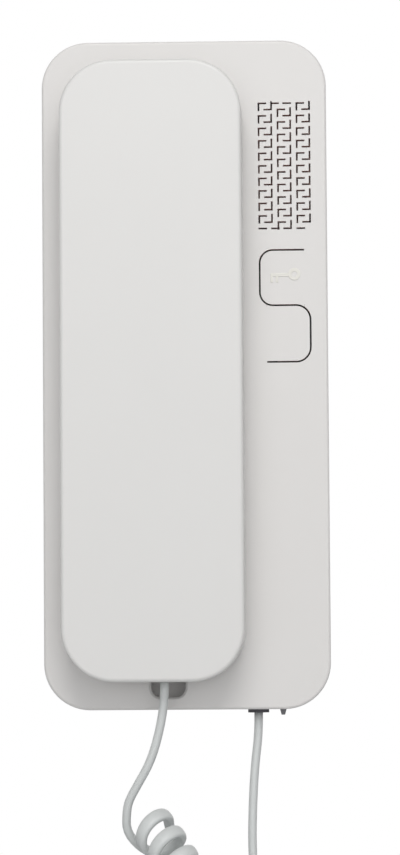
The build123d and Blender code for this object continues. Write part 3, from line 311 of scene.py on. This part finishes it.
ring_profile = (
    (key_hole_radius, 0),
    (key_hole_radius, key_rise - key_edge),
    (key_hole_radius + key_edge_middle, key_rise - key_edge_middle),
    (key_hole_radius + key_edge, key_rise),
    (key_ring_radius - key_edge, key_rise),
    (key_ring_radius - key_edge_middle, key_rise - key_edge_middle),
    (key_ring_radius, key_rise - key_edge),
    (key_ring_radius, 0),
)
key_angles = [2 * pi * step / key_steps for step in range(key_steps)]
key_rings(
    [
        [
            (key_ring_x + radius * cos(angle), cover_face_y - height, key_ring_z + radius * sin(angle))
            for angle in key_angles
        ]
        for radius, height in ring_profile
    ],
    False,
)
key_bar(key_left_x, key_ring_x - key_ring_radius + key_edge, key_shaft_low_z, key_shaft_high_z)
for tooth_x in key_tooth_xs:
    low_x, high_x = tooth_x - key_tooth_half, tooth_x + key_tooth_half
    key_bar(low_x, high_x, key_tooth_low_z, key_shaft_low_z + key_edge)
key_mesh = bpy.data.meshes.new("key_sign")
key_mesh.from_pydata(key_vertices, [], key_faces)
key_mesh.materials.append(
    moulded("sign_white", colour(226, 224, 217), roughness=0.3, grain_size=0.00025, grain_depth=0.000004)
)
key_sign = bpy.data.objects.new("key_sign", key_mesh)
bpy.context.collection.objects.link(key_sign)
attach(key_sign, "door_button")


# Call loudspeaker behind the grille: a black lacquered steel basket, a dark pressed-paper cone, a ferrite
# magnet and a foam ring against the cover.
def lacquered(name, base, roughness):
    """Black lacquer on sheet metal, with a slight orange peel."""
    made, tree, shader, place = material(name, base, roughness)
    shader.inputs["Coat Weight"].default_value = 0.3
    patches = noise(tree, place, size=0.002, detail=3.0)
    uneven_gloss(tree, shader, patches, roughness - 0.06, roughness + 0.06)
    grain(tree, shader, noise(tree, place, size=0.0006), distance=0.00002)
    return made


def pressed_paper(name, base):
    """Pressed paper: fibres that run every way, and a dull surface."""
    made, tree, shader, place = material(name, base, roughness=0.85)
    fibres = noise(tree, stretched(tree, place, (1.0, 1.0, 0.2)), size=0.0003, detail=6.0)
    dark = (*[channel * 0.7 for channel in base[:3]], 1)
    tree.links.new(mixed(tree, fibres, dark, base), shader.inputs["Base Color"])
    grain(tree, shader, fibres, distance=0.00004)
    return made


def foam(name, base, cell_size):
    """Closed-cell foam: small round cells."""
    made, tree, shader, place = material(name, base, roughness=0.9)
    cells = tree.nodes.new("ShaderNodeTexVoronoi")
    cells.inputs["Scale"].default_value = 1 / cell_size
    tree.links.new(place, cells.inputs["Vector"])
    dark = (*[channel * 0.6 for channel in base[:3]], 1)
    cell_reach = ranged(tree, cells.outputs["Distance"], 0.0, 1.0)
    tree.links.new(mixed(tree, cell_reach, dark, base), shader.inputs["Base Color"])
    grain(tree, shader, cells.outputs["Distance"], distance=0.00006)
    return made


foam_black = foam("foam_black", colour(104, 94, 94), cell_size=0.0004)
magnet_ferrite = moulded(
    "magnet_ferrite", colour(58, 58, 61), roughness=0.55, grain_size=0.0004, grain_depth=0.00003
)
dress(lacquered("speaker_black", colour(134, 116, 114), roughness=0.5), "speaker_frame")
dress(magnet_ferrite, "speaker_magnet")
dress(pressed_paper("cone_paper", colour(218, 194, 184)), "speaker_cone")
dress(foam_black, "speaker_gasket", "earpiece_gasket")


# Circuit board and its screws: solder-masked glass fibre with copper tracks under the green, held by
# zinc-plated screws in the tray's posts.
def solder_mask(name, mask, track, track_spacing):
    """A green board: straight tracks that show a little lighter and stand up through the mask."""
    made, tree, shader, place = material(name, mask, roughness=0.32)
    shader.inputs["Coat Weight"].default_value = 0.4
    tracks = tree.nodes.new("ShaderNodeTexBrick")
    tracks.inputs["Scale"].default_value = 1 / track_spacing
    tracks.inputs["Mortar Size"].default_value = 0.035
    tracks.inputs["Color1"].default_value = mask
    tracks.inputs["Color2"].default_value = (*[channel * 0.9 for channel in mask[:3]], 1)
    tracks.inputs["Mortar"].default_value = track
    turned = tree.nodes.new("ShaderNodeMapping")
    turned.inputs["Rotation"].default_value = (pi / 2, 0, 0)
    tree.links.new(place, turned.inputs["Vector"])
    tree.links.new(turned.outputs["Vector"], tracks.inputs["Vector"])
    tree.links.new(tracks.outputs["Color"], shader.inputs["Base Color"])
    grain(tree, shader, tracks.outputs["Fac"], distance=0.00004)
    return made


def plated_steel(name, base, roughness):
    """Zinc-plated steel, turned or stamped: fine lines along one way."""
    made, tree, shader, place = material(name, base, roughness, metallic=1.0)
    lines = noise(tree, stretched(tree, place, (1.0, 0.1, 1.0)), size=0.0002, detail=3.0)
    uneven_gloss(tree, shader, lines, roughness - 0.08, roughness + 0.1)
    grain(tree, shader, lines, distance=0.000008)
    return made


screw_steel = plated_steel("screw_steel", colour(205, 205, 203), roughness=0.34)
board_green = solder_mask("board_green", colour(40, 62, 48), colour(62, 84, 66), track_spacing=0.012)
dress(board_green, "circuit_board")
dress(screw_steel, "board_screws", "terminal_screws", "handset_screws", "hook_pin", "hook_spring")

# Riser terminals: a grey polyamide block with a wire entry and a clamping screw for each pole. It is
# moulded in one piece and sits on the board.
terminal_grey = moulded(
    "terminal_grey", colour(150, 155, 158), roughness=0.5, grain_size=0.0004, grain_depth=0.00002
)
dress(terminal_grey, "terminal_block")

# Switches on the board: black moulded bodies for the two push switches, the hook switch and the volume
# switch, with acetal stems.
switch_black = moulded(
    "switch_black",
    colour(46, 46, 48),
    roughness=0.48,
    grain_size=0.0003,
    grain_depth=0.00002,
    amount=0.05,
)
dress(switch_black, "door_switch", "aux_switch", "hook_switch", "volume_switch")
stem_grey = moulded(
    "stem_grey", colour(178, 178, 176), roughness=0.4, grain_size=0.0003, grain_depth=0.000008
)
dress(stem_grey, "door_switch_stem", "aux_switch_stem", "hook_switch_stem")

# Volume slider: a small grey nub that stands out of the slot in the bottom wall. It is moulded in acetal
# and moves with the slide switch behind it.
slider_grey = moulded(
    "slider_grey",
    colour(112, 112, 116),
    roughness=0.45,
    grain_size=0.0003,
    grain_depth=0.00001,
    amount=0.03,
)
dress(slider_grey, "volume_slider")


# Rubber parts: the dark bush that the cord goes into, the microphone's boot and the pale strain relief
# of the handset, all moulded rubber with a dull bloom.
def rubber(name, base, roughness):
    """Moulded rubber: dull, with a patchy bloom."""
    made, tree, shader, place = material(name, base, roughness, ior=1.52)
    drift(tree, shader, place, base, amount=0.08, size=0.004)
    shader.inputs["Sheen Weight"].default_value = 0.08
    patches = noise(tree, place, size=0.003, detail=4.0)
    uneven_gloss(tree, shader, patches, roughness - 0.08, roughness + 0.08)
    grain(tree, shader, noise(tree, place, size=0.0002), distance=0.00002)
    return made


bush_rubber = rubber("bush_rubber", colour(74, 72, 78), roughness=0.6)
dress(bush_rubber, "cord_grommet", "microphone_boot")
dress(rubber("relief_rubber", colour(196, 198, 197), roughness=0.55), "handset_strain_relief")

# Handset shells: the same warm white ABS from a smoother mould, a little glossier than the wall unit.
# The front and the rear shell are held together by two screws from behind, between the pads.
handset_white = moulded(
    "handset_white",
    colour(222, 221, 219),
    roughness=0.36,
    grain_size=0.0006,
    grain_depth=0.000006,
    spread=0.03,
)
dress(handset_white, "handset_front_shell", "handset_rear_shell")

# Handset inserts: the receiver capsule and the electret microphone behind the two pads. Both are drawn
# metal cans, one held on a foam ring and the other in a rubber boot.
capsule_metal = plated_steel("capsule_metal", colour(190, 191, 192), roughness=0.4)
dress(capsule_metal, "earpiece_capsule", "microphone_capsule")

# Curly cord: a flat-oval sheath of cool grey PVC, 4.1 by 2.4 mm, straight out of the handset, wound in
# small turns that hang in a loop, and straight up into the bush. One extrusion, heat-set into its curl.
handset_tail_points = (
    (-0.0061, -0.0290, -0.0870),
    (-0.0061, -0.0290, -0.0915),
    (-0.0073, -0.0287, -0.0995),
    (-0.0100, -0.0278, -0.1090),
    (-0.0142, -0.0265, -0.1162),
    (-0.01635, -0.0256, -0.1200),
    (-0.0171, -0.0251, -0.1229),
)
coil_lead_points = (
    (-0.0174, -0.0232, -0.1290),
    (-0.0133, -0.0187, -0.1340),
    (-0.0085, -0.0144, -0.1359),
    (-0.0046, -0.0139, -0.1320),
    (-0.0056, -0.0183, -0.1271),
)
coil_axis_points = (
    (-0.0102, -0.0227, -0.1277),
    (-0.0050, -0.0289, -0.1336),
    (0.0002, -0.0348, -0.1424),
    (0.0018, -0.0380, -0.1540),
    (0.0012, -0.0386, -0.1660),
    (0.0030, -0.0364, -0.1800),
    (0.0135, -0.0296, -0.1890),
    (0.0250, -0.0218, -0.1870),
    (0.0300, -0.0165, -0.1780),
    (0.0275, -0.0148, -0.1670),
    (0.0215, -0.0144, -0.1580),
)
coil_exit_points = (
    (0.0220, -0.0202, -0.1568),
    (0.0252, -0.0182, -0.1552),
    (0.0260, -0.0146, -0.1538),
    (0.0246, -0.0114, -0.1526),
    (0.0216, -0.0106, -0.1510),
    (0.0192, -0.0122, -0.1484),
)
base_tail_points = (
    (0.0184, -0.0140, -0.1442),
    (0.0178, -0.0140, -0.1340),
    (0.0180, -0.0137, -0.1230),
    (0.0187, -0.0133, -0.1110),
    (0.0199, -0.0130, -0.1020),
    (0.0199, -0.0130, -0.0960),
)
coil_radius = 0.0053
coil_turns = 17
coil_start_angle = radians(-120)
points_per_turn = 16
line_steps, axis_steps = 4, 24
band_half_width, band_half_thickness = 0.00205, 0.00122
band_roundness = 2.5
band_sides = 20
towards_user = Vector((0, -1, 0))


def route(name, points, steps):
    """Places along the smooth NURBS line that these control points pull, as Blender draws it."""
    curve = bpy.data.curves.new(name, "CURVE")
    curve.dimensions = "3D"
    curve.resolution_u = steps
    spline = curve.splines.new("NURBS")
    spline.points.add(len(points) - 1)
    for control, point in zip(spline.points, points):
        control.co = (*point, 1)
    spline.order_u = 3
    spline.use_endpoint_u = True
    holder = bpy.data.objects.new(name, curve)
    line = bpy.data.meshes.new_from_object(holder)
    places = [vertex.co.copy() for vertex in line.vertices]
    bpy.data.objects.remove(holder)
    bpy.data.meshes.remove(line)
    return places


def lengths_along(places):
    """The distance along a line at each of its places."""
    reaches = [0.0]
    for before, after in zip(places, places[1:]):
        reaches.append(reaches[-1] + (after - before).length)
    return reaches


def headings_along(places):
    """The direction of a line at each of its places."""
    ends = [places[0], *places, places[-1]]
    return [(after - before).normalized() for before, after in zip(ends, ends[2:])]


def carried(headings, first):
    """A sideways direction carried along a line without twist."""
    sides = []
    side = first
    for heading in headings:
        side = (side - heading * side.dot(heading)).normalized()
        sides.append(side)
    return sides


axis_places = route("coil_axis", coil_axis_points, axis_steps)
axis_reaches = lengths_along(axis_places)
axis_headings = headings_along(axis_places)
axis_sides = carried(axis_headings, towards_user)


def coil_point(turn, radius):
    """The helix's place after this many turns, and the axis heading there."""
    reach = axis_reaches[-1] * turn / coil_turns
    index = 1
    while axis_reaches[index] < reach and index < len(axis_places) - 1:
        index += 1
    share = (reach - axis_reaches[index - 1]) / (axis_reaches[index] - axis_reaches[index - 1])
    centre = axis_places[index - 1].lerp(axis_places[index], share)
    heading = axis_headings[index - 1].lerp(axis_headings[index], share).normalized()
    side = axis_sides[index - 1].lerp(axis_sides[index], share).normalized()
    angle = coil_start_angle + 2 * pi * turn
    return centre + (side * cos(angle) + heading.cross(side) * sin(angle)) * radius, heading


helix_points = []
helix_headings = []
for step in range(coil_turns * points_per_turn + 1):
    place, heading = coil_point(step / points_per_turn, coil_radius / cos(pi / points_per_turn))
    helix_points.append(place)
    helix_headings.append(heading)
cord_points = [
    *handset_tail_points,
    *coil_lead_points,
    *helix_points,
    *coil_exit_points,
    *base_tail_points,
]
cord_places = route("cord_line", cord_points, line_steps)
cord_headings = headings_along(cord_places)
cord_sides = carried(cord_headings, towards_user)


def band_turn(index, wanted):
    """How far the band is turned from the carried side to lay its wide side along the wanted way."""
    across = cord_headings[index].cross(cord_sides[index])
    return atan2(wanted.dot(across), wanted.dot(cord_sides[index]))


# The wide side lies along the coil's axis in the turns and away from the wall in the straight ends, and
# the sheath twists evenly from one to the other in between.
tail_stop = line_steps * len(handset_tail_points)
coil_start = line_steps * (len(handset_tail_points) + len(coil_lead_points))
coil_stop = coil_start + line_steps * (len(helix_points) - 1)
base_tail_start = coil_stop + line_steps * (len(coil_exit_points) + 1)
fixed_turns = {}
previous = 0.0
for index in range(len(cord_places)):
    if tail_stop < index < coil_start or coil_stop < index < base_tail_start:
        continue
    if coil_start <= index <= coil_stop:
        wanted = helix_headings[(index - coil_start) // line_steps]
    else:
        wanted = towards_user
    turn = band_turn(index, wanted)
    turn += pi * round((previous - turn) / pi)
    fixed_turns[index] = previous = turn
known = sorted(fixed_turns)
band_turns = []
for index in range(len(cord_places)):
    if index in fixed_turns:
        band_turns.append(fixed_turns[index])
        continue
    before = max(other for other in known if other < index)
    after = min(other for other in known if other > index)
    share = (index - before) / (after - before)
    band_turns.append(fixed_turns[before] * (1 - share) + fixed_turns[after] * share)

vertices = []
for place, heading, side, turn in zip(cord_places, cord_headings, cord_sides, band_turns):
    wide = side * cos(turn) + heading.cross(side) * sin(turn)
    thin = heading.cross(wide)
    for step in range(band_sides):
        angle = 2 * pi * (step + 0.5) / band_sides
        across, up = cos(angle), sin(angle)
        swell = (abs(across) ** band_roundness + abs(up) ** band_roundness) ** (-1 / band_roundness)
        offset = wide * (across * swell * band_half_width) + thin * (up * swell * band_half_thickness)
        vertices.append(place + offset)
faces = []
for ring in range(len(cord_places) - 1):
    for step in range(band_sides):
        after = (step + 1) % band_sides
        here, beyond = ring * band_sides, (ring + 1) * band_sides
        faces.append((here + step, here + after, beyond + after, beyond + step))
last_ring = (len(cord_places) - 1) * band_sides
faces.append(tuple(reversed(range(band_sides))))
faces.append(tuple(range(last_ring, last_ring + band_sides)))
cord_mesh = bpy.data.meshes.new("curly_cord")
cord_mesh.from_pydata(vertices, [], faces)
for polygon in cord_mesh.polygons:
    polygon.use_smooth = len(polygon.vertices) == 4


def sheath(name, base):
    """PVC sheath: smooth, slightly waxy, with the faint sink marks of the extrusion."""
    made, tree, shader, place = material(name, base, roughness=0.42, ior=1.54)
    drift(tree, shader, place, base, amount=0.02, size=0.01)
    shader.inputs["Subsurface Weight"].default_value = 0.05
    shader.inputs["Subsurface Radius"].default_value = (0.001, 0.001, 0.001)
    uneven_gloss(tree, shader, noise(tree, place, size=0.004, detail=3.0), 0.36, 0.48)
    grain(tree, shader, noise(tree, place, size=0.0006), distance=0.00001)
    return made


cord_mesh.materials.append(sheath("cord_grey", colour(214, 217, 216)))
curly_cord = bpy.data.objects.new("curly_cord", cord_mesh)
bpy.context.collection.objects.link(curly_cord)
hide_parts("handset_tail", "cord_coil", "base_tail")
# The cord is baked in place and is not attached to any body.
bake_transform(curly_cord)


# Studio: a pale floor well below the hanging cord, a soft lamp above and in front, a wide even fill in
# front, and a pale room whose background shows white.
def area_lamp(name, place, size, watts, tint):
    """A round soft lamp that points at the middle of the wall unit's back."""
    lamp = bpy.data.lights.new(name, "AREA")
    lamp.shape = "DISK"
    lamp.size = size
    lamp.energy = watts
    lamp.color = tint
    holder = bpy.data.objects.new(name, lamp)
    holder.location = place
    holder.rotation_euler = (-Vector(place)).to_track_quat("-Z", "Y").to_euler()
    bpy.context.collection.objects.link(holder)


def pale_ground(name, base):
    """A matt painted floor that keeps shadows and shows pale to the camera."""
    made = moulded(name, base, roughness=0.8, grain_size=0.002, grain_depth=0.00005)
    tree = made.node_tree
    shader = tree.nodes["Principled BSDF"]
    shader.inputs["Emission Color"].default_value = (1, 1, 1, 1)
    rays = tree.nodes.new("ShaderNodeLightPath")
    glow = ranged(tree, rays.outputs["Is Camera Ray"], 0.0, 0.5)
    tree.links.new(glow, shader.inputs["Emission Strength"])
    return made


floor_z, floor_thickness = -0.34, 0.01
floor_half = 2.5
floor = box_piece(
    "floor",
    (-floor_half, -floor_half, floor_z - floor_thickness),
    (floor_half, floor_half, floor_z),
    pale_ground("floor_pale", colour(236, 236, 236)),
    "wall_unit",
)
area_lamp("key", (0.04, -0.72, 0.55), size=0.5, watts=3.2, tint=(1.0, 0.985, 0.965))
area_lamp("fill", (0.05, -1.30, 0.15), size=1.6, watts=6.2, tint=(0.98, 0.99, 1.0))

scene = bpy.context.scene
scene.view_settings.view_transform = "Standard"
room = bpy.data.worlds.new("room")
room.use_nodes = True
scene.world = room
tree = room.node_tree
tree.nodes.clear()
soft_light = tree.nodes.new("ShaderNodeBackground")
soft_light.inputs["Color"].default_value = (0.97, 0.98, 1.0, 1)
soft_light.inputs["Strength"].default_value = 0.30
white_ground = tree.nodes.new("ShaderNodeBackground")
white_ground.inputs["Color"].default_value = (1, 1, 1, 1)
white_ground.inputs["Strength"].default_value = 1.0
rays = tree.nodes.new("ShaderNodeLightPath")
seen = rays.outputs["Is Camera Ray"]
for kind in ("Is Glossy Ray", "Is Transmission Ray"):
    either = tree.nodes.new("ShaderNodeMath")
    either.operation = "MAXIMUM"
    tree.links.new(seen, either.inputs[0])
    tree.links.new(rays.outputs[kind], either.inputs[1])
    seen = either.outputs["Value"]
blend_rays = tree.nodes.new("ShaderNodeMixShader")
tree.links.new(seen, blend_rays.inputs["Fac"])
tree.links.new(soft_light.outputs["Background"], blend_rays.inputs[1])
tree.links.new(white_ground.outputs["Background"], blend_rays.inputs[2])
world_output = tree.nodes.new("ShaderNodeOutputWorld")
tree.links.new(blend_rays.outputs["Shader"], world_output.inputs["Surface"])


# Camera: in front of the wall unit, one metre away, a touch below its middle and right of it, as the
# photograph was taken. It looks a little up and to the left.
aim = Vector((0.00398, -0.0190, -0.01523))
camera_distance = 1.0
camera_yaw, camera_pitch, camera_roll = radians(1.823), radians(3.548), radians(-0.395)
right = Vector((cos(camera_yaw), sin(camera_yaw), 0))
forward = Vector((
    -sin(camera_yaw) * cos(camera_pitch),
    cos(camera_yaw) * cos(camera_pitch),
    sin(camera_pitch),
))
up = right.cross(forward)
rolled_right = right * cos(camera_roll) + up * sin(camera_roll)
rolled_up = up * cos(camera_roll) - right * sin(camera_roll)
camera = bpy.data.cameras.new("camera")
camera.sensor_width = 36
camera.lens = 148.42
camera.clip_start = 0.01
camera.clip_end = 20
camera_object = bpy.data.objects.new("camera", camera)
turn_matrix = Matrix((rolled_right, rolled_up, -forward)).transposed()
camera_object.matrix_world = Matrix.Translation(aim - forward * camera_distance) @ turn_matrix.to_4x4()
bpy.context.collection.objects.link(camera_object)
scene.camera = camera_object
